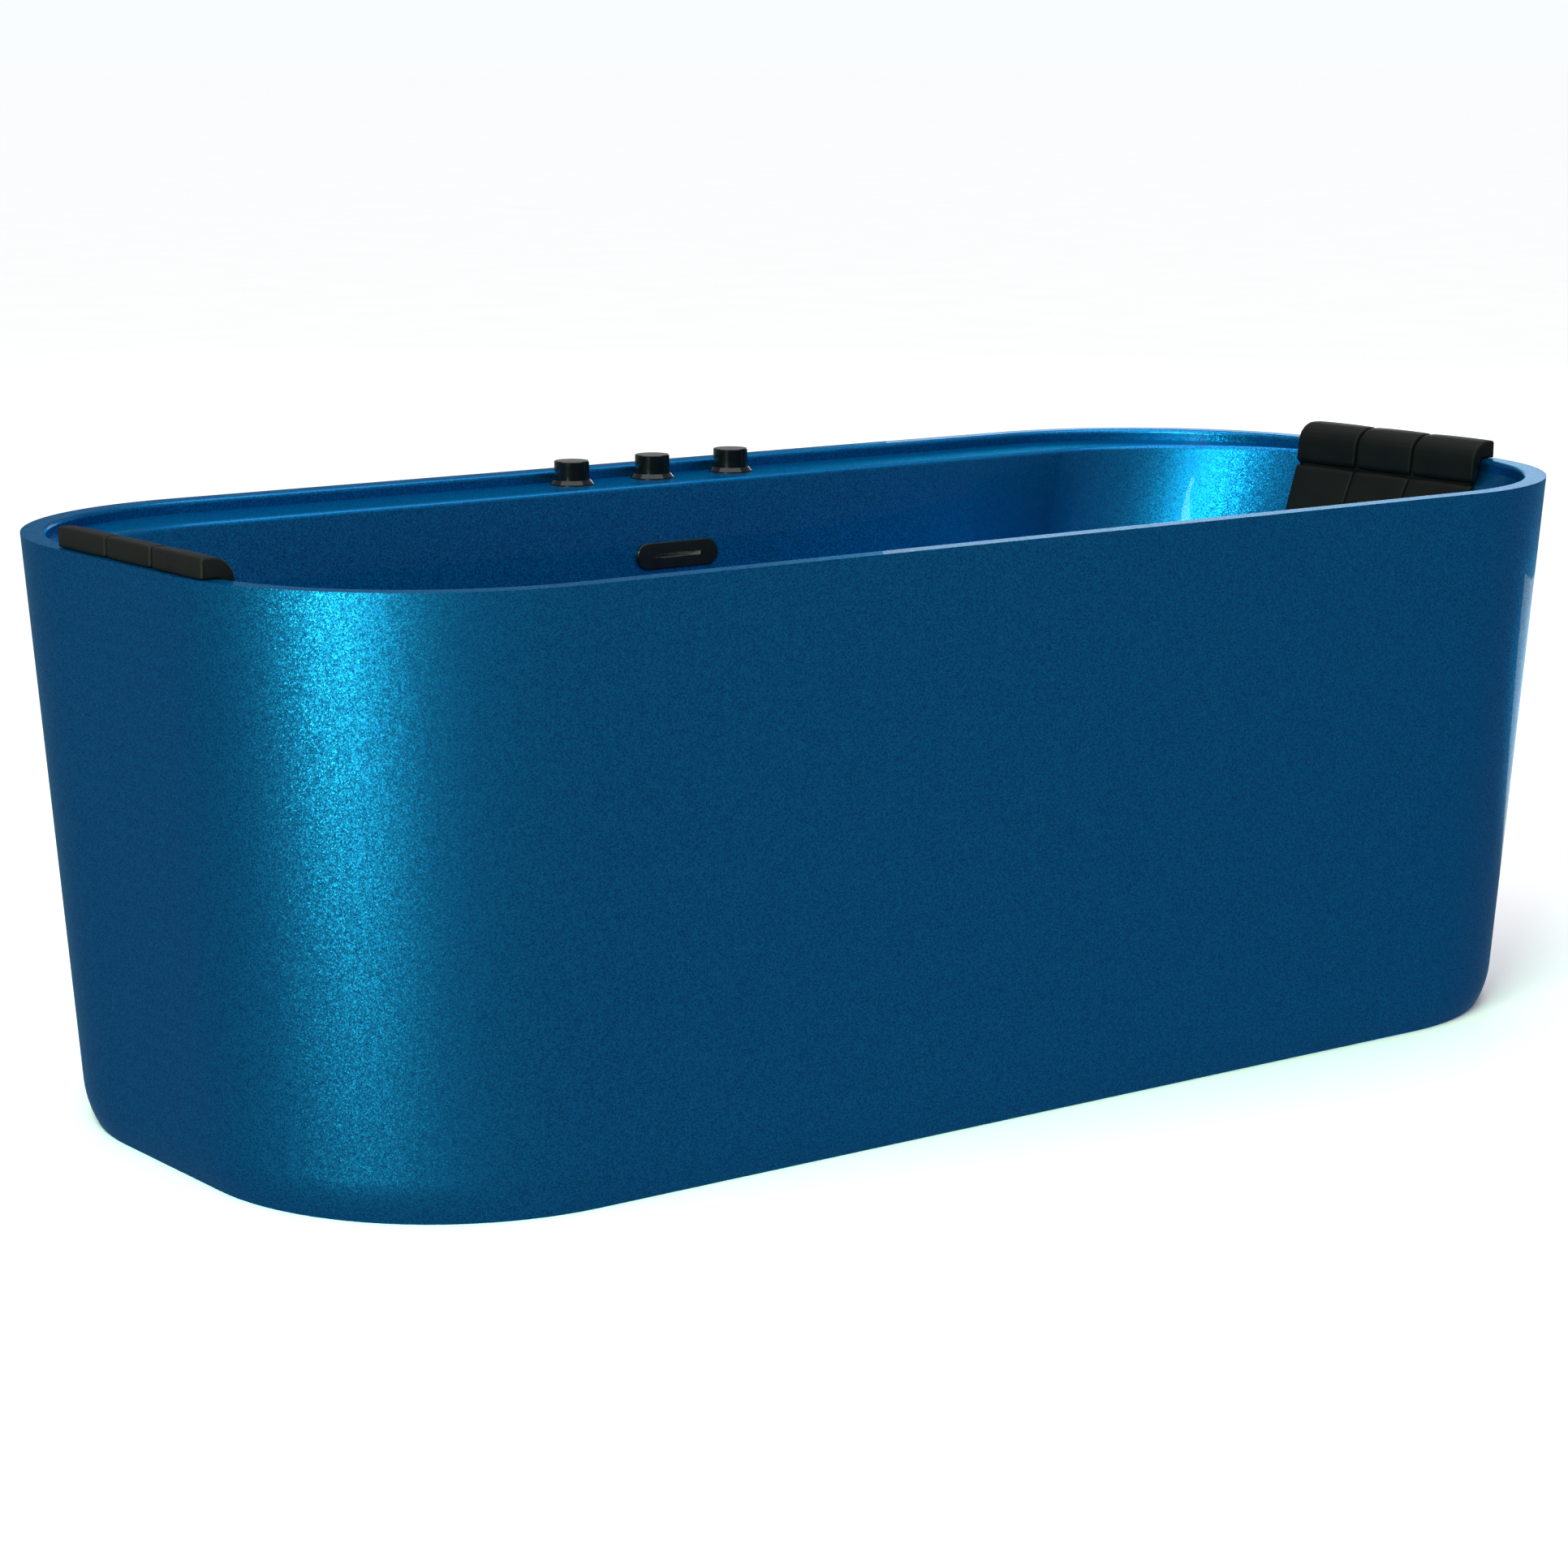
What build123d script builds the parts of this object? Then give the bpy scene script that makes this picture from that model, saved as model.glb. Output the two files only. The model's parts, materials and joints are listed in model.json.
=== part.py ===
"""Freestanding hydromassage bath: a drafted acrylic casing, a one-piece basin with a control ledge,
two headrests, click-clack waste, overflow, six side jets and a circulation pump.

Millimetres. +X runs along the length, +Y points to the side with the control ledge, +Z is up.
The origin is the centre of the footprint, on the floor.
"""
import os
from math import cos, radians, sin, tan

from build123d import *

# Overall shell
LENGTH, WIDTH, HEIGHT = 1700.0, 800.0, 600.0
CORNER_R = 278.0
DRAFT_END, DRAFT_SIDE = 38.0, 32.0      # how far each wall leans in over the full height
CORNER_SHRINK = 7.0                     # loss of plan corner radius over the full height
HEEL_R = 100.0                          # rounded heel, cut off by the floor
HEEL_TANGENT_Z = 49.0                   # height at which the heel leaves the wall
SHELL_T = 5.0
RIM_DROP = 10.0                         # depth of the basin's own outer edge
RIM_W = 25.0
RIM_FILLET = 5.0

# Basin
LEDGE_Z = 587.0
LEDGE_EDGE_Y = 292.0                    # basin edge of the ledge, which is on the +Y side only
LEDGE_EDGE_R = 5.0
FLOOR_Z = 140.0
FLOOR_R = 80.0
END_SLOPE, SIDE_SLOPE = 26.0, 8.0       # degrees from vertical
OPENING_BACK_R = 240.0
FLOOR_CORNER_R = 185.0
END_X = LENGTH / 2 - RIM_W              # inside of the rim at each end
FRONT_Y = -(WIDTH / 2 - RIM_W)
RIM_INNER_R = CORNER_R - RIM_W

# Controls on the ledge
CONTROL_PITCH = 110.0
CONTROL_MID_X = 14.0
CONTROL_Y = 348.0
CONTROL_TOP_Z = LEDGE_Z + 26.5
CAP_R = 19.7
FLARE_R, FLARE_TOP_R, FLARE_H = 25.0, 21.3, 5.4
STEM_R, SPINDLE_R = 13.0, 7.0
RUNNING = 0.05                          # radial running clearance of every shaft

# Overflow
OVERFLOW_L, OVERFLOW_H, OVERFLOW_T = 111.0, 30.0, 4.0
OVERFLOW_Z = 507.0
OVERFLOW_SLOT_L, OVERFLOW_SLOT_H = 68.0, 5.0
OVERFLOW_PORT_L, OVERFLOW_PORT_H = 84.0, 18.0
OVERFLOW_HOSE_Y = 318.0

# Waste
DRAIN_Y = -40.0
WASTE_HOLE_R = 26.0
PLUG_STEM_R = 5.0

# Jets
JET_X = (-420.0, 0.0, 420.0)
JET_Z = 290.0
JET_HOLE_R = 19.0
JET_BORE_R = 15.0
JET_BEZEL_R = 34.0

# Pipes
WATER_PIPE_R = 14.0
WATER_PIPE_Z = 215.0
CROSS_X, CROSS_Z = 540.0, 60.0
AIR_PIPE_R = 6.0
AIR_PIPE_Z = 345.0

# Frame and feet
RAIL = 25.0
RAIL_T = 2.0
RAIL_Y = 190.0
RAIL_Z = 98.0
RAIL_X0, RAIL_X1 = -580.0, 780.0
CROSS_BAR_X = (-540.0, -180.0, 180.0, 500.0)
BOARD_T = 12.0
FOOT_X = (-520.0, -60.0, 520.0)
FOOT_R, ROD_R = 24.0, 5.0

# Pump, axis along Y, in the wedge under the +X end slope
PUMP_X, PUMP_Z = 715.0, 85.0
MOTOR_R, VOLUTE_R, IMPELLER_R, ROTOR_R, SHAFT_R = 55.0, 62.0, 42.0, 36.0, 6.0
MOTOR_Y0, MOTOR_Y1, VOLUTE_Y1, INLET_Y = -150.0, 45.0, 90.0, 108.0
SUCTION_Z = 230.0

# Headrests
PILLOW_W = 288.0
PILLOW_Y = -27.0
PILLOW_BACK_X = 843.0
PILLOW_TOP_Z = 620.5
PILLOW_NOSE_X = 806.0
PILLOW_LOW_Z = 468.0
PAD_T = 12.0
PILLOW_GAP = 0.4                        # clearance under and behind each headrest

PARTS = {}


def add(name, shape):
    """Keep a finished piece under its node name."""
    PARTS[name] = shape


# ---------------------------------------------------------------- helpers

def outline(x0, x1, y0, y1, front_r, back_r):
    """Rectangle with one radius on its -Y corners and another on its +Y corners."""
    shape = Pos((x0 + x1) / 2, (y0 + y1) / 2) * Rectangle(x1 - x0, y1 - y0)
    rows = shape.vertices().group_by(Axis.Y)
    shape = fillet(rows[0], front_r)
    rows = shape.vertices().sort_by(Axis.Y)[-2:]
    return fillet(rows, back_r)


def casing_outline(z, inset):
    """Plan of the drafted wall at height z, moved in by inset."""
    down = 1 - z / HEIGHT
    half_x = LENGTH / 2 - DRAFT_END * down - inset
    half_y = WIDTH / 2 - DRAFT_SIDE * down - inset
    radius = CORNER_R - CORNER_SHRINK * down - inset
    return Pos(0, 0, z) * RectangleRounded(2 * half_x, 2 * half_y, radius)


def casing_solid(top, inset):
    """Drafted block with its heel rounded, resting on the floor."""
    low = HEEL_TANGENT_Z - HEEL_R + inset
    block = loft([casing_outline(low, inset), casing_outline(top, inset)], ruled=True)
    block = fillet(block.edges().group_by(Axis.Z)[0], HEEL_R - inset)
    return block & Pos(0, 0, HEIGHT / 2) * Box(2 * LENGTH, 2 * WIDTH, HEIGHT)


def basin_outline(z, grow, flare=0.0):
    """Plan of the basin wall at height z, moved out by grow; flare widens only the ledge side."""
    depth = (LEDGE_Z - z) / (LEDGE_Z - FLOOR_Z)
    fall = LEDGE_Z - z
    half_x = END_X - fall * tan(radians(END_SLOPE)) + grow
    y0 = FRONT_Y + fall * tan(radians(SIDE_SLOPE)) - grow
    y1 = LEDGE_EDGE_Y - fall * tan(radians(SIDE_SLOPE)) + grow + flare
    front_r = RIM_INNER_R + (FLOOR_CORNER_R - RIM_INNER_R) * depth + grow
    back_r = OPENING_BACK_R + (FLOOR_CORNER_R - OPENING_BACK_R) * depth + grow
    return Pos(0, 0, z) * outline(-half_x, half_x, y0, y1, front_r, back_r)


def bowl(floor_z, floor_r, grow):
    """The basin's hollow, or its outside when grown by the shell's thickness."""
    shape = loft([basin_outline(floor_z, grow), basin_outline(LEDGE_Z, grow)], ruled=True)
    return fillet(shape.edges().group_by(Axis.Z)[0], floor_r)


def wall_y(side, z):
    """Y of the basin's inner face on the long wall; side is +1 at the ledge, -1 at the front."""
    lean = (LEDGE_Z - z) * tan(radians(SIDE_SLOPE))
    return LEDGE_EDGE_Y - lean if side > 0 else FRONT_Y + lean


def wall_plane(side, x, z):
    """Plane on a long wall's inner face, its normal pointing into the bath."""
    normal = (0, -side * cos(radians(SIDE_SLOPE)), sin(radians(SIDE_SLOPE)))
    return Plane(origin=(x, wall_y(side, z), z), x_dir=(1, 0, 0), z_dir=normal)


def end_plane(z):
    """Plane on the +X end wall's inner face, its normal pointing into the bath."""
    x = END_X - (LEDGE_Z - z) * tan(radians(END_SLOPE))
    normal = (-cos(radians(END_SLOPE)), 0, sin(radians(END_SLOPE)))
    return Plane(origin=(x, DRAIN_Y, z), x_dir=(0, 1, 0), z_dir=normal)


def disc(radius, z0, z1):
    """Cylinder on the local Z axis from z0 to z1."""
    return Pos(0, 0, (z0 + z1) / 2) * Cylinder(radius, z1 - z0)


def ring(outer, inner, z0, z1):
    return disc(outer, z0, z1) - disc(inner, z0, z1)


def box(x0, x1, y0, y1, z0, z1):
    return Pos((x0 + x1) / 2, (y0 + y1) / 2, (z0 + z1) / 2) * Box(x1 - x0, y1 - y0, z1 - z0)


def along_y(x, z, shape):
    """Turn a piece built on local Z so that it lies along +Y at x, z."""
    return Plane(origin=(x, 0, z), x_dir=(1, 0, 0), z_dir=(0, 1, 0)) * shape


def pipe(points, radius, wall, bend):
    """Round pipe through the given corners, each turned with the same bend radius."""
    path = FilletPolyline(*points, radius=bend) if len(points) > 2 else Polyline(*points)
    start = Plane(origin=path @ 0, z_dir=path % 0)
    return sweep(start * (Circle(radius) - Circle(radius - wall)), path=path)


# ---------------------------------------------------------------- shells

def build_casing():
    top = HEIGHT - RIM_DROP
    add("outer_casing", casing_solid(top, 0) - casing_solid(top, SHELL_T))


def build_basin():
    rim = loft([casing_outline(HEIGHT - RIM_DROP, 0), casing_outline(HEIGHT, 0)], ruled=True)
    recess_front = outline(-END_X, END_X, FRONT_Y, -FRONT_Y, RIM_INNER_R, RIM_INNER_R)
    grown = END_X + SHELL_T
    tray = outline(-grown, grown, FRONT_Y - SHELL_T, SHELL_T - FRONT_Y,
                   RIM_INNER_R + SHELL_T, RIM_INNER_R + SHELL_T)
    tray = extrude(Pos(0, 0, LEDGE_Z - SHELL_T) * tray, HEIGHT - LEDGE_Z)
    recess = extrude(Pos(0, 0, LEDGE_Z) * recess_front, HEIGHT - LEDGE_Z)
    outside = bowl(FLOOR_Z - SHELL_T, FLOOR_R + SHELL_T, SHELL_T / cos(radians(SIDE_SLOPE)))
    basin = rim + tray + outside - recess
    basin = fillet(rim_inner_edges(basin), RIM_FILLET)
    basin = basin - bowl(FLOOR_Z, FLOOR_R, 0) - ledge_edge_cutter()

    basin -= wall_plane(1, 0, OVERFLOW_Z) * extrude(
        SlotOverall(OVERFLOW_PORT_L, OVERFLOW_PORT_H), 3 * SHELL_T, both=True)
    basin -= Pos(0, DRAIN_Y, FLOOR_Z) * Cylinder(WASTE_HOLE_R, 4 * SHELL_T)
    for x in control_positions():
        basin -= Pos(x, CONTROL_Y, LEDGE_Z) * Cylinder(STEM_R, 4 * SHELL_T)
    for side in (-1, 1):
        for x in JET_X:
            basin -= wall_plane(side, x, JET_Z) * Cylinder(JET_HOLE_R, 6 * SHELL_T)
    basin -= end_plane(SUCTION_Z) * Cylinder(JET_HOLE_R, 6 * SHELL_T)
    add("inner_basin", basin)


def rim_inner_edges(shape):
    """Edges round the inside of the rim's flat top."""
    top = shape.edges().filter_by_position(Axis.Z, HEIGHT - 0.01, HEIGHT + 0.01)
    found = []
    for edge in top:
        size = edge.bounding_box()
        reach_x = max(size.max.X, -size.min.X)
        reach_y = max(size.max.Y, -size.min.Y)
        if reach_x < END_X + 1 and reach_y < 1 - FRONT_Y:
            found.append(edge)
    return found


def ledge_edge_cutter():
    """Rounds the ledge's edge: stacked outlines that open out along a quarter circle."""
    steps = 5
    sections = []
    for step in range(steps + 1):
        turn = radians(90 * step / steps)
        z = LEDGE_Z - LEDGE_EDGE_R * (1 - sin(turn))
        sections.append(basin_outline(z, 0, LEDGE_EDGE_R * (1 - cos(turn))))
    return loft(sections, ruled=True)


def control_positions():
    return [CONTROL_MID_X + step * CONTROL_PITCH for step in (-1, 0, 1)]


# ---------------------------------------------------------------- frame

def build_frame():
    board = Pos(0, DRAIN_Y, 0) * RectangleRounded(960, 270, 40)
    board = extrude(Pos(0, 0, FLOOR_Z - SHELL_T - BOARD_T) * board, BOARD_T)
    board -= Pos(0, DRAIN_Y, FLOOR_Z - SHELL_T) * Cylinder(48, 4 * BOARD_T)
    add("base_board", board)

    def rail(length):
        return Box(length, RAIL, RAIL) - Box(length, RAIL - 2 * RAIL_T, RAIL - 2 * RAIL_T)

    mid_x = (RAIL_X0 + RAIL_X1) / 2
    for name, y in (("frame_front_rail", -RAIL_Y), ("frame_back_rail", RAIL_Y)):
        body = Pos(mid_x, y, RAIL_Z + RAIL / 2) * rail(RAIL_X1 - RAIL_X0)
        for x in FOOT_X:
            body -= Pos(x, y, RAIL_Z) * Cylinder(ROD_R, 8 * RAIL)
        add(name, body)
    bars = [Pos(x, 0, RAIL_Z + RAIL / 2) * Rot(0, 0, 90) * rail(2 * RAIL_Y - RAIL)
            for x in CROSS_BAR_X]
    add("frame_cross_bars", Compound(children=bars))


def build_feet():
    rods, nuts, pads = [], [], []
    for x in FOOT_X:
        for y in (-RAIL_Y, RAIL_Y):
            here = Pos(x, y, 0)
            rods.append(here * disc(ROD_R, 12, RAIL_Z + RAIL + 8))
            for z in (RAIL_Z - 8, RAIL_Z + RAIL):
                nut = extrude(Pos(0, 0, z) * RegularPolygon(8.5, 6), 8) - disc(ROD_R, z, z + 8)
                nuts.append(here * nut)
            pad = disc(FOOT_R, 0, 6) + Pos(0, 0, 9) * Cone(FOOT_R, 11, 6)
            pads.append(here * pad)
    add("foot_rods", Compound(children=rods))
    add("foot_nuts", Compound(children=nuts))
    add("foot_pads", Compound(children=pads))


# ---------------------------------------------------------------- controls

def control_base():
    """Flared collar with the threaded stem that passes through the ledge."""
    profile = Polyline((STEM_R, -42), (STEM_R, 0), (FLARE_R, 0), (FLARE_R, 1), (FLARE_TOP_R, FLARE_H),
                       (CAP_R + 0.5, FLARE_H), (CAP_R + 0.5, 1.6), (SPINDLE_R + RUNNING, 1.6),
                       (SPINDLE_R + RUNNING, -42), close=True)
    return revolve(Plane.XZ * make_face(profile), Axis.Z)


def control_cap(spindle_z):
    """Hollow cap on a central spindle."""
    top = CONTROL_TOP_Z - LEDGE_Z
    rim_z = FLARE_H - 0.6
    profile = Polyline((0, spindle_z), (SPINDLE_R, spindle_z), (SPINDLE_R, top - 4), (CAP_R - 2.2, top - 4),
                       (CAP_R - 2.2, rim_z), (CAP_R, rim_z), (CAP_R, top - 0.8), (CAP_R - 0.8, top),
                       (0, top), close=True)
    return revolve(Plane.XZ * make_face(profile), Axis.Z)


def build_controls():
    names = ("air_regulator_a", "air_regulator_b", "pneumatic_button")
    nuts = []
    for name, x in zip(names, control_positions()):
        here = Pos(x, CONTROL_Y, LEDGE_Z)
        add(name + "_base", here * control_base())
        nut = extrude(Pos(0, 0, -SHELL_T - 7) * RegularPolygon(19, 6), 7)
        nuts.append(here * (nut - disc(STEM_R, -SHELL_T - 7, -SHELL_T)))
        if name == "pneumatic_button":
            add(name + "_cap", here * control_cap(-43.6))
            housing = disc(17, -72, -42) - disc(13, -69, -42)
            bellows = disc(8, -69, -65)
            for step in range(4):
                fold_z = -65 + 4.5 * step
                bellows += disc(12, fold_z, fold_z + 2.5) + disc(9, fold_z + 2.5, fold_z + 4.5)
            housing += disc(3, -78, -72)
            add("bellows_housing", here * housing)
            add("button_bellows", here * bellows)
        else:
            add(name + "_knob", here * control_cap(-60))
            valve = disc(17, -76, -42) - disc(13, -72, -42)
            valve += disc(4, -84, -76)
            add(name + "_valve", here * valve)
    add("ledge_nuts", Compound(children=nuts))


# ---------------------------------------------------------------- overflow and waste

def build_overflow():
    wall = wall_plane(1, 0, OVERFLOW_Z)
    cover = extrude(SlotOverall(OVERFLOW_L, OVERFLOW_H), OVERFLOW_T)
    cover = fillet(cover.edges().group_by(Axis.Z)[-1], 1.5)
    cover -= extrude(SlotOverall(OVERFLOW_SLOT_L, OVERFLOW_SLOT_H), OVERFLOW_T)
    add("overflow_cover", wall * cover)

    body = extrude(SlotOverall(OVERFLOW_PORT_L, OVERFLOW_PORT_H), -SHELL_T)
    body += Pos(0, 0, -20) * Box(100, 34, 30)
    body -= Pos(0, 0, -13) * Box(72, 12, 26)
    body = wall * body
    body += Pos(0, OVERFLOW_HOSE_Y - 16, 494) * Box(30, 34, 20)
    body += Pos(0, OVERFLOW_HOSE_Y, 486) * Cylinder(16, 16)
    body -= Pos(0, OVERFLOW_HOSE_Y, 488) * Cylinder(12, 20)
    add("overflow_body", body)

    hose = [(0, OVERFLOW_HOSE_Y, 478), (0, OVERFLOW_HOSE_Y, 76), (0, DRAIN_Y + 60, 76)]
    add("overflow_hose", pipe(hose, 16, 2.5, 60))


def build_waste():
    here = Pos(0, DRAIN_Y, FLOOR_Z)
    flange = ring(35, 22, 0, 3) + ring(WASTE_HOLE_R, 22, -24, 0)
    flange += ring(9, PLUG_STEM_R + RUNNING, -20, -4)
    for turn in (0, 60, 120):
        spoke = Rot(0, 0, turn) * Box(46, 3, 8)
        flange += Pos(0, 0, -14) * (spoke - Cylinder(8, 20))
    add("waste_flange", here * flange)

    plug = disc(30, 3.4, 6) + Pos(0, 0, 7.5) * Cone(30, 24, 3) + disc(PLUG_STEM_R, -34, 3.4)
    plug += ring(8, PLUG_STEM_R, -34, -31)
    add("drain_plug", here * plug)

    body = ring(38, WASTE_HOLE_R, -SHELL_T - 18, -SHELL_T) + ring(32, 26, -80, -SHELL_T - 18)
    port = Plane(origin=(0, 25, -64), x_dir=(1, 0, 0), z_dir=(0, 1, 0)) * ring(16, 12, 0, 35)
    body += port - disc(30, -90, -40)
    add("waste_body", here * body)

    trap = ring(42, 38, -124, -80) + disc(42, -128, -124) + ring(42, 17, -82, -80)
    trap += ring(20, 17, -108, -80)
    outlet_z = -104
    spigot = Plane(origin=(-39, 0, outlet_z), x_dir=(0, 1, 0), z_dir=(-1, 0, 0)) * ring(20, 17, 0, 21)
    mouth = Plane(origin=(-30, 0, outlet_z), x_dir=(0, 1, 0), z_dir=(-1, 0, 0)) * disc(17, 0, 14)
    add("waste_trap", here * (trap + spigot - mouth))
    outlet = Plane(origin=(-60, 0, outlet_z), x_dir=(0, 1, 0), z_dir=(-1, 0, 0)) * ring(20, 17.5, 0, 170)
    add("waste_outlet_pipe", here * outlet)


# ---------------------------------------------------------------- jets, water and air

def jet_water_y(side):
    return wall_y(side, JET_Z) + side * (SHELL_T + 13)


def jet_air_y(side):
    return wall_y(side, AIR_PIPE_Z) + side * (SHELL_T + 15)


def build_jets():
    bodies, bezels, seals = [], [], []
    for side, word in ((-1, "front"), (1, "back")):
        for number, x in enumerate(JET_X, start=1):
            wall = wall_plane(side, x, JET_Z)
            bezel = ring(JET_BEZEL_R, JET_BORE_R + RUNNING, 0, 4) - Pos(0, 0, 4) * Cone(16, 27, 3)
            bezels.append(wall * (bezel + ring(JET_HOLE_R, JET_BORE_R + RUNNING, -14, 0)))
            seals.append(wall * ring(27, JET_HOLE_R, -SHELL_T - 2, -SHELL_T))
            body = ring(27, JET_HOLE_R, -30, -SHELL_T - 2) + disc(27, -34, -30)
            water = Pos(x, jet_water_y(side), 0) * disc(9, WATER_PIPE_Z + WATER_PIPE_R, JET_Z - 24)
            air = Pos(x, jet_air_y(side), 0) * disc(4, JET_Z + 22, AIR_PIPE_Z - AIR_PIPE_R)
            hollow = wall * disc(JET_HOLE_R, -30, 0)
            bodies.append(wall * body + (water - hollow) + (air - hollow))
            nozzle = disc(JET_BORE_R, -12, 2) - Pos(4, 0, 0) * Cylinder(5, 40)
            nozzle += Pos(-9, 0, 3) * Box(3, 10, 3)
            add(f"{word}_jet_nozzle_{number}", wall * nozzle)
    add("jet_bodies", Compound(children=bodies))
    add("jet_bezels", Compound(children=bezels))
    add("jet_seals", Compound(children=seals))


def build_pipes():
    start_x = JET_X[0] - 20
    end_x = JET_X[-1] + 20
    air_pipes = []
    for side, word in ((-1, "front"), (1, "back")):
        y = jet_water_y(side)
        run = [(start_x, y, WATER_PIPE_Z), (CROSS_X, y, WATER_PIPE_Z), (CROSS_X, y, CROSS_Z + WATER_PIPE_R)]
        add(f"{word}_water_pipe", pipe(run, WATER_PIPE_R, 2, 40))
        y = jet_air_y(side)
        air_pipes.append(pipe([(start_x, y, AIR_PIPE_Z), (end_x, y, AIR_PIPE_Z)], AIR_PIPE_R, 1.5, 0))
    add("air_pipes", Compound(children=air_pipes))
    ends = [(CROSS_X, jet_water_y(-1) - WATER_PIPE_R, CROSS_Z),
            (CROSS_X, jet_water_y(1) + WATER_PIPE_R, CROSS_Z)]
    add("cross_water_pipe", pipe(ends, WATER_PIPE_R, 2, 0))

    valve_z = LEDGE_Z - 84
    a_x, b_x, button_x = control_positions()
    rise_x = start_x - 20
    low = 58
    front_y, back_y = jet_air_y(-1), jet_air_y(1)
    add("front_air_hose", pipe([(a_x, CONTROL_Y, valve_z), (a_x, CONTROL_Y, 440), (rise_x, 340, 400),
                                (rise_x, 340, low), (rise_x, -344, low), (rise_x, front_y, AIR_PIPE_Z),
                                (start_x, front_y, AIR_PIPE_Z)], 5, 1.2, 12))
    add("back_air_hose", pipe([(b_x, CONTROL_Y, valve_z), (b_x, CONTROL_Y, 440), (60, back_y, 410),
                               (60, back_y, AIR_PIPE_Z + AIR_PIPE_R)], 5, 1.2, 12))
    add("button_air_tube", pipe([(button_x, CONTROL_Y, LEDGE_Z - 78), (button_x, CONTROL_Y, 430),
                                 (560, 340, 430), (760, 200, 300), (790, -95, 260), (700, -95, 215),
                                 (700, -95, 175)], 3, 1, 14))


# ---------------------------------------------------------------- suction and pump

def build_pump():
    wall = end_plane(SUCTION_Z)
    grille = disc(36, 0, 3) + Pos(0, 0, 4.5) * Cone(36, 28, 3)
    holes = Cylinder(2.6, 20)
    for count, radius in ((6, 9), (12, 18)):
        for spot in PolarLocations(radius, count):
            holes += spot * Cylinder(2.6, 20)
    add("suction_grille", wall * (grille - holes))
    body = ring(JET_HOLE_R, 15, -SHELL_T, 0) + ring(32, 15, -SHELL_T - 16, -SHELL_T)
    body += ring(18, 14, -40, -21)
    add("suction_body", wall * body)

    mouth = wall.location * Pos(0, 0, -40)
    start = mouth.position
    ahead = wall.z_dir * -52
    bend = start + ahead
    add("suction_pipe", pipe([start, bend, (bend.X, 158, bend.Z), (PUMP_X, 158, PUMP_Z),
                              (PUMP_X, INLET_Y, PUMP_Z)], WATER_PIPE_R, 2, 24))

    volute = ring(VOLUTE_R, 50, MOTOR_Y1, VOLUTE_Y1 - 7)
    volute += ring(VOLUTE_R, 12, VOLUTE_Y1 - 7, VOLUTE_Y1)
    volute += ring(WATER_PIPE_R + 3, 12, VOLUTE_Y1, INLET_Y)
    volute = along_y(PUMP_X, PUMP_Z, volute)
    outlet_y = (MOTOR_Y1 + VOLUTE_Y1) / 2
    run = 62
    outlet = Plane(origin=(CROSS_X + WATER_PIPE_R + run, outlet_y, CROSS_Z), x_dir=(0, 1, 0),
                   z_dir=(1, 0, 0))
    stub = outlet * disc(WATER_PIPE_R, 0, run) - along_y(PUMP_X, PUMP_Z, disc(52, 0, 200))
    add("pump_volute", volute + stub - outlet * disc(WATER_PIPE_R - 2, 0, run))
    add("pump_outlet_pipe", outlet * ring(WATER_PIPE_R, WATER_PIPE_R - 2, -run, 0))

    motor = ring(MOTOR_R, 48, MOTOR_Y0, MOTOR_Y1 - 8)
    motor += ring(MOTOR_R, SHAFT_R + RUNNING, MOTOR_Y1 - 8, MOTOR_Y1)
    motor = along_y(PUMP_X, PUMP_Z, motor)
    foot = box(PUMP_X - 40, PUMP_X + 40, -110, 10, 20, PUMP_Z)
    foot -= along_y(PUMP_X, PUMP_Z, disc(50, -200, 200))
    add("motor_housing", motor + foot)
    add("motor_stator", along_y(PUMP_X, PUMP_Z, ring(48, ROTOR_R + 1, -110, 10)))
    shield = ring(MOTOR_R, SHAFT_R + RUNNING, MOTOR_Y0 - 3, MOTOR_Y0)
    shield += ring(MOTOR_R, 52, MOTOR_Y0 - 20, MOTOR_Y0 - 3)
    add("fan_cover", along_y(PUMP_X, PUMP_Z, shield))
    rotor = disc(SHAFT_R, MOTOR_Y0 - 14, VOLUTE_Y1 - 14) + disc(ROTOR_R, -104, 4)
    add("motor_rotor", along_y(PUMP_X, PUMP_Z, rotor))
    impeller = ring(IMPELLER_R, SHAFT_R, MOTOR_Y1 + 6, MOTOR_Y1 + 10)
    impeller += ring(12, SHAFT_R, MOTOR_Y1 + 10, VOLUTE_Y1 - 14)
    fan = ring(14, SHAFT_R, MOTOR_Y0 - 14, MOTOR_Y0 - 5)
    for turn in range(6):
        vane = Rot(0, 0, 60 * turn) * Pos(26, 0, MOTOR_Y1 + 16) * Rot(0, 0, 25) * Box(30, 3, 14)
        impeller += vane - disc(SHAFT_R + 3, 0, 200) - ring(60, IMPELLER_R, 0, 200)
        fan += Rot(0, 0, 60 * turn) * Pos(28, 0, MOTOR_Y0 - 9.5) * Box(34, 2, 8)
    add("pump_impeller", along_y(PUMP_X, PUMP_Z, impeller))
    add("motor_fan", along_y(PUMP_X, PUMP_Z, fan))

    gland = Plane(origin=(680, -95, 155), x_dir=(0, 1, 0), z_dir=(-1, 0, 0)) * ring(8, 4, 0, 14)
    terminal = box(680, 750, -125, -65, 134, 172) - along_y(PUMP_X, PUMP_Z, disc(MOTOR_R, -200, 200))
    nipple = Pos(700, -95, 0) * disc(3, 172, 175)
    add("terminal_box", terminal + gland + nipple)

    inner = RAIL_Y + RAIL / 2
    bracket = box(PUMP_X - 45, PUMP_X + 45, -inner - 4, inner + 4, 16, 20)
    for side in (-1, 1):
        low, high = sorted((side * inner, side * (inner + 4)))
        bracket += box(PUMP_X - 45, PUMP_X + 45, low, high, 16, RAIL_Z + RAIL)
    add("pump_bracket", bracket)


# ---------------------------------------------------------------- headrests

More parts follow.
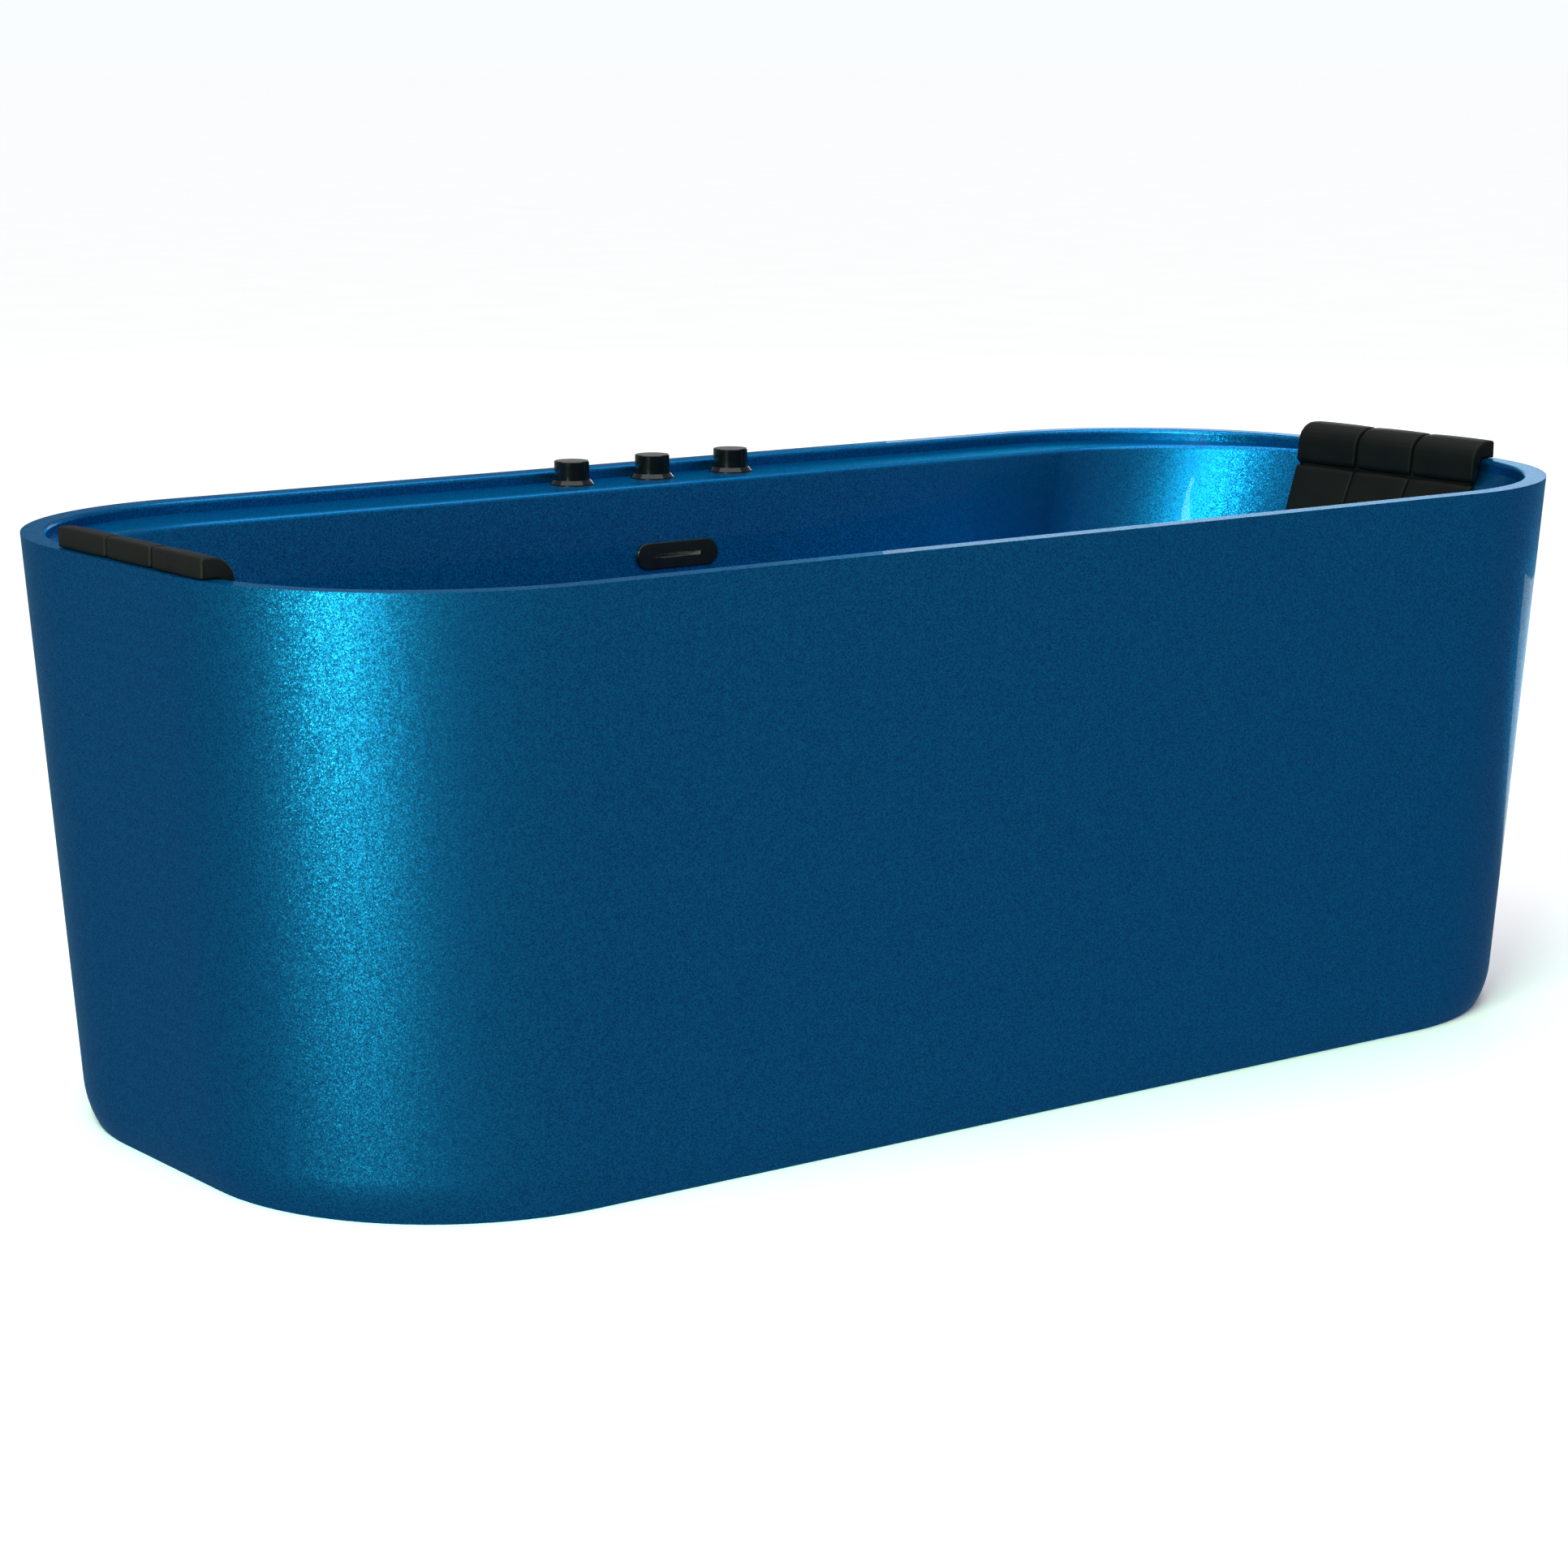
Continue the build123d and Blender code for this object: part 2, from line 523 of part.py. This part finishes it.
def clear_space():
    """The room inside the basin and above its rim, held back from every surface by the headrest gap."""
    gap = -PILLOW_GAP / cos(radians(END_SLOPE)) - 0.1
    low = basin_outline(PILLOW_LOW_Z - 20, gap)
    inside = loft([low, basin_outline(LEDGE_Z, gap)], ruled=True)
    reach = END_X + gap
    recess = outline(-reach, reach, FRONT_Y - gap, -FRONT_Y + gap, RIM_INNER_R + gap, RIM_INNER_R + gap)
    inside += extrude(Pos(0, 0, LEDGE_Z + PILLOW_GAP) * recess, HEIGHT - LEDGE_Z)
    inside += extrude(basin_outline(LEDGE_Z, gap), 2 * PILLOW_GAP)
    return inside + box(-LENGTH, LENGTH, -WIDTH, WIDTH, HEIGHT + PILLOW_GAP, HEIGHT + 60)


def build_headrests():
    """Curved roll over the rim with a thin pad hanging down the end slope."""
    lean = tan(radians(END_SLOPE))

    def pad_x(z):
        return END_X - (LEDGE_Z - z) * lean - PAD_T

    top_line = Polyline((PILLOW_BACK_X, PILLOW_LOW_Z), (PILLOW_BACK_X, PILLOW_TOP_Z - 2),
                        (PILLOW_BACK_X - 4, PILLOW_TOP_Z), (PILLOW_NOSE_X + 24, PILLOW_TOP_Z))
    nose = ThreePointArc((PILLOW_NOSE_X + 24, PILLOW_TOP_Z), (PILLOW_NOSE_X + 5.5, PILLOW_TOP_Z - 9.5),
                         (PILLOW_NOSE_X, PILLOW_TOP_Z - 30))
    face = Polyline((PILLOW_NOSE_X, PILLOW_TOP_Z - 30), (pad_x(568), 568),
                    (pad_x(PILLOW_LOW_Z), PILLOW_LOW_Z), (PILLOW_BACK_X, PILLOW_LOW_Z))
    profile = Plane.XZ * make_face(top_line + nose + face)
    pillow = Pos(0, PILLOW_Y + PILLOW_W / 2, 0) * extrude(profile, PILLOW_W)
    pillow = pillow & clear_space()
    add("headrest_right", pillow)
    add("headrest_left", mirror(pillow, Plane.YZ))


build_casing()
build_basin()
build_frame()
build_feet()
build_controls()
build_overflow()
build_waste()
build_jets()
build_pipes()
build_pump()
build_headrests()

os.makedirs("parts", exist_ok=True)
for node, solid in PARTS.items():
    export_step(solid, f"parts/{node}.step")
print(len(PARTS), "nodes")
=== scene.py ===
"""Looks of the freestanding hydromassage bath: flake acrylic, gloss black trim, moulded foam headrests,
pale floor and soft studio light. Metres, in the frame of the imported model."""

import json
from math import cos, pi, radians, sin, tan

import bmesh
import bpy
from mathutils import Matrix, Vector


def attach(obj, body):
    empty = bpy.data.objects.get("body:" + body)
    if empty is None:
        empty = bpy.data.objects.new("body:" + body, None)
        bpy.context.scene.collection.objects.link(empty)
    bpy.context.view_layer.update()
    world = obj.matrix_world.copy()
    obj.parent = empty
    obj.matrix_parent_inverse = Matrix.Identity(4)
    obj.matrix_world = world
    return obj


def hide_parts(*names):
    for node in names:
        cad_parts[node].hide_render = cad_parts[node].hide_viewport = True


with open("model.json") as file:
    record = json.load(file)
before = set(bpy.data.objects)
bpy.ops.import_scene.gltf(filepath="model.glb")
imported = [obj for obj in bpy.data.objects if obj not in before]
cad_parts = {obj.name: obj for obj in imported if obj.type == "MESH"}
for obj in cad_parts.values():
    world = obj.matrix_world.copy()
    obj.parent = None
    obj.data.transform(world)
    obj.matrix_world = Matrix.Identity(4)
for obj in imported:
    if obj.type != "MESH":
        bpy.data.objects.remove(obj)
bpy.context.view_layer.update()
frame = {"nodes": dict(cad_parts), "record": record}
nodes = frame["nodes"]

# Camera: looks along the bath from its -X end
CAMERA_TARGET = Vector((-0.05815, 0.0, 0.29363))
CAMERA_DISTANCE = 4.1375
CAMERA_YAW, CAMERA_PITCH = 36.73, 11.13
CAMERA_LENS = 88.48

# Basin wall that the headrests lie on
END_X, LEDGE_Z = 0.825, 0.587
END_SLOPE, SIDE_SLOPE = radians(26), radians(8)
FLOOR_Z = 0.140
FRONT_Y, BACK_Y = -0.375, 0.292
FRONT_R, BACK_R, FLOOR_CORNER_R = 0.253, 0.240, 0.185
RIM_Z = 0.600

# Headrests
REST_Y, REST_HALF_W = -0.027, 0.144
REST_BACK_X, REST_TOP_Z, REST_NOSE_X = 0.843, 0.6205, 0.806
PAD_T = 0.012
PAD_TOP_Z, PAD_LOW_Z = 0.5705, 0.469
PAD_TAPER = 0.17
GROOVE = 0.0045
SKIN_GAP = 0.0006
FIRST_PAD_W, LAST_PAD_W = 0.098, 0.099
PAD_EDGE_R, ROLL_CROWN, PAD_CROWN = 0.0028, 0.0006, 0.0012
CORE_INSET, CORE_EDGE_R = 0.004, 0.001
EDGE_STEPS, CROWN_STEPS = 5, 10
CROWN_FULLNESS = 0.7                    # below 1 the crown rises sooner from its edges
ROLL_POINTS, PAD_POINTS = 96, 72

# Studio
FLOOR_SIZE = 400
SUN_SPREAD = radians(70)
WORLD_FILL, WORLD_SEEN = 0.35, 1.0      # strength on the bath, and behind it in the picture


# ---------------------------------------------------------------- node helpers

class Graph:
    """A material's node tree with short calls for adding and joining nodes."""

    def __init__(self, name):
        self.material = bpy.data.materials.new(name)
        self.material.use_nodes = True
        self.tree = self.material.node_tree
        self.shader = self.tree.nodes["Principled BSDF"]

    def add(self, kind, **settings):
        node = self.tree.nodes.new(kind)
        for key, value in settings.items():
            setattr(node, key, value)
        return node

    def join(self, source, target):
        self.tree.links.new(source, target)

    def set(self, **values):
        for key, value in values.items():
            self.shader.inputs[key.replace("_", " ")].default_value = value

    def place(self):
        return self.add("ShaderNodeTexCoord").outputs["Object"]

    def noise(self, scale, detail=2.0, vector=None):
        node = self.add("ShaderNodeTexNoise")
        node.inputs["Scale"].default_value = scale
        node.inputs["Detail"].default_value = detail
        self.join(vector or self.place(), node.inputs["Vector"])
        return node.outputs["Fac"]

    def cells(self, scale, output="Color"):
        node = self.add("ShaderNodeTexVoronoi")
        node.inputs["Scale"].default_value = scale
        self.join(self.place(), node.inputs["Vector"])
        return node.outputs[output]

    def ramp(self, value, low, high, from_min=0.0, from_max=1.0):
        node = self.add("ShaderNodeMapRange")
        self.join(value, node.inputs["Value"])
        node.inputs["From Min"].default_value = from_min
        node.inputs["From Max"].default_value = from_max
        node.inputs["To Min"].default_value = low
        node.inputs["To Max"].default_value = high
        return node.outputs["Result"]

    def mix(self, factor, first, second):
        node = self.add("ShaderNodeMix", data_type="RGBA")
        self.join(factor, node.inputs[0])
        for index, colour in ((6, first), (7, second)):
            if isinstance(colour, tuple):
                node.inputs[index].default_value = (*colour, 1)
            else:
                self.join(colour, node.inputs[index])
        return node.outputs[2]

    def bump(self, height, distance, strength=1.0):
        node = self.add("ShaderNodeBump")
        node.inputs["Strength"].default_value = strength
        node.inputs["Distance"].default_value = distance
        self.join(height, node.inputs["Height"])
        self.join(node.outputs["Normal"], self.shader.inputs["Normal"])


def vector_math(graph, operation, first, second=None):
    node = graph.add("ShaderNodeVectorMath", operation=operation)
    for index, value in enumerate((first, second)):
        if isinstance(value, tuple):
            node.inputs[index].default_value = value
        elif value is not None:
            graph.join(value, node.inputs[index])
    return node.outputs["Vector"]


# ---------------------------------------------------------------- materials

FLAKE_SCALE, FLAKE_TILT = 900, 0.20     # cells per metre, and how far each flake leans


def flake_acrylic():
    """Blue acrylic with metal flake under a clear gloss surface."""
    graph = Graph("flake_acrylic")
    cell = graph.cells(FLAKE_SCALE)
    split = graph.add("ShaderNodeSeparateColor")
    graph.join(cell, split.inputs["Color"])
    grain = graph.mix(split.outputs["Red"], (0.002, 0.070, 0.230), (0.006, 0.210, 0.500))
    cloud = graph.ramp(graph.noise(2.2, 3.0), 0.0, 0.2)
    graph.join(graph.mix(cloud, grain, (0.003, 0.11, 0.34)), graph.shader.inputs["Base Color"])
    graph.set(Metallic=1.0, Specular_Tint=(0.1, 0.5, 0.7, 1), Coat_Weight=0.12, Coat_Roughness=0.02,
              Coat_IOR=1.49)
    graph.join(graph.ramp(split.outputs["Green"], 0.34, 0.44), graph.shader.inputs["Roughness"])
    tilt = vector_math(graph, "SUBTRACT", cell, (0.5, 0.5, 0.5))
    tilt = vector_math(graph, "MULTIPLY", tilt, (FLAKE_TILT,) * 3)
    normal = graph.add("ShaderNodeNewGeometry").outputs["Normal"]
    tilted = vector_math(graph, "NORMALIZE", vector_math(graph, "ADD", normal, tilt))
    graph.join(tilted, graph.shader.inputs["Normal"])
    return graph.material


def gloss_black():
    graph = Graph("gloss_black")
    graph.join(graph.mix(graph.noise(60), (0.002, 0.002, 0.0022), (0.005, 0.005, 0.0055)),
               graph.shader.inputs["Base Color"])
    graph.set(Specular_IOR_Level=0.25, Coat_Weight=0.08, Coat_Roughness=0.05)
    graph.join(graph.ramp(graph.noise(240, 4.0), 0.10, 0.24), graph.shader.inputs["Roughness"])
    graph.bump(graph.noise(900), 0.00002, 0.4)
    return graph.material


def headrest_foam():
    """Black self-skinned foam: fine pores and uneven gloss."""
    graph = Graph("headrest_foam")
    pores = graph.cells(1500, "Distance")
    cloud = graph.noise(28, 4.0)
    graph.join(graph.mix(cloud, (0.002, 0.002, 0.0023), (0.006, 0.006, 0.0064)),
               graph.shader.inputs["Base Color"])
    graph.set(Specular_IOR_Level=0.1)
    graph.join(graph.ramp(cloud, 0.46, 0.62), graph.shader.inputs["Roughness"])
    graph.bump(pores, 0.0002, 0.5)
    return graph.material


def plain_finish(name, dark, light, rough, metallic=0.0, scale=30.0, grain=0.0001):
    """Moulded or metal finish with mottled colour, uneven roughness and a fine surface grain."""
    graph = Graph(name)
    graph.join(graph.mix(graph.noise(scale, 5.0), dark, light), graph.shader.inputs["Base Color"])
    graph.set(Metallic=metallic)
    graph.join(graph.ramp(graph.noise(scale * 4, 3.0), rough[0], rough[1]), graph.shader.inputs["Roughness"])
    graph.bump(graph.noise(scale * 25, 3.0), grain, 0.6)
    return graph.material


def make_materials():
    finishes = {
        "acrylic_blue": flake_acrylic(),
        "black_gloss": gloss_black(),
        "headrest_foam": headrest_foam(),
    }
    plain = {
        "galvanised_steel": ((0.34, 0.35, 0.36), (0.6, 0.61, 0.62), (0.35, 0.6), 1.0, 18),
        "chipboard": ((0.24, 0.15, 0.08), (0.5, 0.37, 0.22), (0.7, 0.9), 0.0, 160, 0.0004),
        "white_plastic": ((0.68, 0.68, 0.66), (0.78, 0.78, 0.76), (0.3, 0.45)),
        "grey_hose": ((0.28, 0.28, 0.29), (0.36, 0.36, 0.37), (0.45, 0.6)),
        "clear_vinyl": ((0.55, 0.6, 0.6), (0.66, 0.7, 0.69), (0.12, 0.25)),
        "black_rubber": ((0.012, 0.012, 0.012), (0.03, 0.03, 0.03), (0.7, 0.9)),
        "motor_paint": ((0.05, 0.06, 0.07), (0.09, 0.1, 0.115), (0.3, 0.5), 0.0, 40),
        "black_plastic": ((0.015, 0.015, 0.016), (0.03, 0.03, 0.031), (0.45, 0.65)),
        "bright_steel": ((0.5, 0.5, 0.51), (0.68, 0.68, 0.69), (0.15, 0.3), 1.0, 60),
        "copper_winding": ((0.45, 0.18, 0.08), (0.72, 0.33, 0.16), (0.3, 0.5), 1.0, 200),
    }
    for slot, settings in plain.items():
        finishes[slot] = plain_finish(slot, *settings)
    return finishes


def paint_nodes(materials):
    for row in frame["record"]["subparts"]:
        mesh = nodes[row["node"]].data
        mesh.materials.clear()
        mesh.materials.append(materials[row["material_slot"]])


# ---------------------------------------------------------------- headrests

def basin_x(y, z):
    """How far out the basin's end wall is at a point's y and z."""
    if z >= LEDGE_Z:
        half_x, y0, y1, front_r, back_r = END_X, FRONT_Y, -FRONT_Y, FRONT_R, FRONT_R
    else:
        fall = LEDGE_Z - z
        depth = fall / (LEDGE_Z - FLOOR_Z)
        half_x = END_X - fall * tan(END_SLOPE)
        y0 = FRONT_Y + fall * tan(SIDE_SLOPE)
        y1 = BACK_Y - fall * tan(SIDE_SLOPE)
        front_r = FRONT_R + (FLOOR_CORNER_R - FRONT_R) * depth
        back_r = BACK_R + (FLOOR_CORNER_R - BACK_R) * depth
    for past, radius in ((y0 + front_r - y, front_r), (y - (y1 - back_r), back_r)):
        if past > 0:
            half_x -= radius - (radius ** 2 - past ** 2) ** 0.5
    return half_x


def rounded(points, steps=6):
    """Closed outline from (x, z, radius) corners, each corner turned with an arc of its radius."""
    loop = []
    count = len(points)
    for index, (x, z, radius) in enumerate(points):
        here = Vector((x, z))
        before = (Vector(points[index - 1][:2]) - here).normalized()
        after = (Vector(points[(index + 1) % count][:2]) - here).normalized()
        half = before.angle(after) / 2
        reach = radius / tan(half)
        centre = here + (before + after).normalized() * (radius / sin(half))
        first = here + before * reach - centre
        turn = first.angle_signed(here + after * reach - centre)
        for step in range(steps + 1):
            angle = -turn * step / steps
            loop.append(centre + Vector((first.x * cos(angle) - first.y * sin(angle),
                                         first.x * sin(angle) + first.y * cos(angle))))
    return loop


def resample(loop, count):
    """The same closed outline with evenly spaced points."""
    lengths = [0.0]
    ring = loop + [loop[0]]
    for a, b in zip(ring, ring[1:]):
        lengths.append(lengths[-1] + (b - a).length)
    made, index = [], 0
    for step in range(count):
        goal = lengths[-1] * step / count
        while lengths[index + 1] < goal:
            index += 1
        span = lengths[index + 1] - lengths[index]
        made.append(ring[index].lerp(ring[index + 1], (goal - lengths[index]) / max(span, 1e-9)))
    return made


def inset(loop, distance):
    """The outline moved inwards along its normals."""
    count = len(loop)
    area = sum(loop[i - 1].cross(loop[i]) for i in range(count))
    side = 1 if area > 0 else -1
    made = []
    for i, point in enumerate(loop):
        along = (loop[(i + 1) % count] - loop[i - 1]).normalized()
        made.append(point + Vector((-along.y, along.x)) * side * distance)
    return made


def segment(mesh, loop, y0, y1, edge_r, crown):
    """Adds one pad: the outline swept from y0 to y1, its ends rounded by edge_r and its middle crowned."""
    stations = []
    for step in range(EDGE_STEPS + 1):
        turn = pi / 2 * step / EDGE_STEPS
        stations.append((y0 + edge_r * (1 - cos(turn)), edge_r * (1 - sin(turn))))
    far_edge = [(y0 + y1 - y, depth) for y, depth in reversed(stations)]
    for step in range(1, CROWN_STEPS):
        share = step / CROWN_STEPS
        y = y0 + edge_r + (y1 - y0 - 2 * edge_r) * share
        stations.append((y, -crown * sin(pi * share) ** CROWN_FULLNESS))
    stations += far_edge
    rings = []
    for y, depth in stations:
        ring = []
        for point in inset(loop, depth):
            narrow = 1 - PAD_TAPER * max(PAD_TOP_Z - point.y, 0) / REST_HALF_W
            place_y = REST_Y + (y - REST_Y) * narrow
            x = point.x
            if point.y < RIM_Z:
                x = min(x, basin_x(place_y, point.y) - SKIN_GAP)
            ring.append(mesh.verts.new((x, place_y, point.y)))
        rings.append(ring)
    for first, second in zip(rings, rings[1:]):
        for i in range(len(first)):
            j = (i + 1) % len(first)
            mesh.faces.new((first[i], first[j], second[j], second[i]))
    mesh.faces.new(rings[0])
    mesh.faces.new(list(reversed(rings[-1])))


def pad_x(z):
    return END_X - (LEDGE_Z - z) * tan(END_SLOPE) - PAD_T


def roll_outline():
    """Section of the roll that curves over the rim."""
    return rounded([
        (REST_BACK_X, RIM_Z + 0.0006, 0.0015),
        (REST_BACK_X, REST_TOP_Z, 0.003),
        (REST_NOSE_X + 0.004, REST_TOP_Z, 0.024),
        (REST_NOSE_X - 0.001, PAD_TOP_Z + 0.002, 0.006),
        (END_X - 0.008, PAD_TOP_Z + 0.002, 0.001),
        (END_X - SKIN_GAP, LEDGE_Z, 0.002),
        (END_X - SKIN_GAP, RIM_Z + 0.0006, 0.0008)])


def pad_outline():
    """Section of the pad that hangs down the end slope."""
    wall = PAD_T - SKIN_GAP
    return rounded([
        (pad_x(PAD_TOP_Z) + wall, PAD_TOP_Z - 0.001, 0.001),
        (pad_x(PAD_TOP_Z), PAD_TOP_Z - 0.001, 0.004),
        (pad_x(PAD_LOW_Z), PAD_LOW_Z, 0.006),
        (pad_x(PAD_LOW_Z) + wall, PAD_LOW_Z, 0.001)])


def core_outline():
    """Thin web that joins the pads under their grooves."""
    back = END_X - 2 * SKIN_GAP
    skin = 0.0045
    return rounded([
        (REST_BACK_X - 0.004, RIM_Z + 0.0009, 0.001),
        (REST_BACK_X - 0.004, REST_TOP_Z - skin, 0.002),
        (REST_NOSE_X + 0.009, REST_TOP_Z - skin, 0.018),
        (REST_NOSE_X + 0.004, PAD_TOP_Z, 0.002),
        (pad_x(PAD_TOP_Z) + 0.004, PAD_TOP_Z, 0.002),
        (pad_x(PAD_LOW_Z + 0.006) + 0.004, PAD_LOW_Z + 0.006, 0.002),
        (pad_x(PAD_LOW_Z + 0.006) + PAD_T - 2 * SKIN_GAP, PAD_LOW_Z + 0.006, 0.001),
        (back, LEDGE_Z, 0.002),
        (back, RIM_Z + 0.0009, 0.0008)])


def make_headrest(side, word, material):
    """One headrest: three rolls over the rim, three pads below and the web behind them."""
    mesh = bmesh.new()
    low, high = REST_Y - REST_HALF_W, REST_Y + REST_HALF_W
    cuts = (low, low + FIRST_PAD_W, high - LAST_PAD_W, high)
    for index in range(3):
        y0 = cuts[index] + (GROOVE / 2 if index else 0)
        y1 = cuts[index + 1] - (GROOVE / 2 if index < 2 else 0)
        segment(mesh, resample(roll_outline(), ROLL_POINTS), y0, y1, PAD_EDGE_R, ROLL_CROWN)
        segment(mesh, resample(pad_outline(), PAD_POINTS), y0, y1, PAD_EDGE_R, PAD_CROWN)
    core = resample(core_outline(), ROLL_POINTS)
    segment(mesh, core, low + CORE_INSET, high - CORE_INSET, CORE_EDGE_R, 0.0)
    if side < 0:
        for vert in mesh.verts:
            vert.co.x = -vert.co.x
    bmesh.ops.recalc_face_normals(mesh, faces=mesh.faces)
    data = bpy.data.meshes.new(f"headrest_{word}_skin")
    mesh.to_mesh(data)
    mesh.free()
    data.shade_smooth()
    piece = bpy.data.objects.new(f"headrest_{word}_skin", data)
    bpy.context.scene.collection.objects.link(piece)
    data.materials.append(material)
    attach(piece, f"headrest_{word}")
    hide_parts(f"headrest_{word}")


# ---------------------------------------------------------------- stage

def make_floor():
    graph = Graph("studio_floor")
    graph.join(graph.mix(graph.noise(3, 4.0), (0.86, 0.86, 0.86), (0.90, 0.90, 0.90)),
               graph.shader.inputs["Base Color"])
    graph.set(Roughness=0.7)
    bpy.ops.mesh.primitive_plane_add(size=FLOOR_SIZE)
    floor = bpy.context.object
    floor.name = "studio_floor"
    floor.visible_glossy = False        # the studio round the bath is darker than its floor
    floor.data.materials.append(graph.material)


def area_light(name, place, target, size, power, colour=(1, 1, 1)):
    data = bpy.data.lights.new(name, "AREA")
    data.shape = "RECTANGLE"
    data.size, data.size_y = size
    data.energy = power
    data.color = colour
    light = bpy.data.objects.new(name, data)
    light.location = place
    light.rotation_euler = (Vector(target) - Vector(place)).to_track_quat("-Z", "Y").to_euler()
    light.visible_camera = False
    bpy.context.scene.collection.objects.link(light)


def make_light():
    """Even light from above, a strip at the left, a panel and a low card behind on the right, and a
    high lamp at the front left that reaches into the bath."""
    scene = bpy.context.scene
    scene.view_settings.view_transform = "Standard"
    world = bpy.data.worlds.new("studio")
    world.use_nodes = True
    background = world.node_tree.nodes["Background"]
    background.inputs["Color"].default_value = (0.95, 0.98, 1.0, 1)
    seen = world.node_tree.nodes.new("ShaderNodeLightPath").outputs["Is Camera Ray"]
    level = world.node_tree.nodes.new("ShaderNodeMapRange")
    level.inputs["To Min"].default_value = WORLD_FILL
    level.inputs["To Max"].default_value = WORLD_SEEN
    world.node_tree.links.new(seen, level.inputs["Value"])
    world.node_tree.links.new(level.outputs["Result"], background.inputs["Strength"])
    scene.world = world
    sun = bpy.data.lights.new("overhead", "SUN")
    sun.energy = 2.6
    sun.angle = SUN_SPREAD
    lamp = bpy.data.objects.new("overhead", sun)
    scene.collection.objects.link(lamp)
    area_light("strip", (-3.3, -1.45, 0.55), (-0.7, -0.25, 0.22), (0.95, 1.1), 92, (0.95, 1.0, 0.62))
    area_light("panel", (6.4, 5.8, 1.9), (0.4, 0.2, 0.5), (2.8, 2.0), 52)
    area_light("low_card", (2.2, 1.2, 0.01), (2.2, 1.2, 1.0), (2.4, 2.2), 45, (1.0, 1.0, 0.92))
    area_light("high_left", (-2.3, -1.8, 2.7), (0.7, 0.2, 0.5), (1.6, 0.8), 150, (0.5, 1.0, 0.7))


def make_camera():
    yaw, pitch = radians(CAMERA_YAW), radians(CAMERA_PITCH)
    ahead = Vector((sin(yaw) * cos(pitch), cos(yaw) * cos(pitch), -sin(pitch)))
    data = bpy.data.cameras.new("camera")
    data.sensor_width = 36
    data.lens = CAMERA_LENS
    data.clip_end = 100
    camera = bpy.data.objects.new("camera", data)
    camera.location = CAMERA_TARGET - ahead * CAMERA_DISTANCE
    camera.rotation_euler = (pi / 2 - pitch, 0, -yaw)
    bpy.context.scene.collection.objects.link(camera)
    bpy.context.scene.camera = camera


make_camera()
finishes = make_materials()
paint_nodes(finishes)
for side, word in ((-1, "left"), (1, "right")):
    make_headrest(side, word, finishes["headrest_foam"])
make_floor()
make_light()
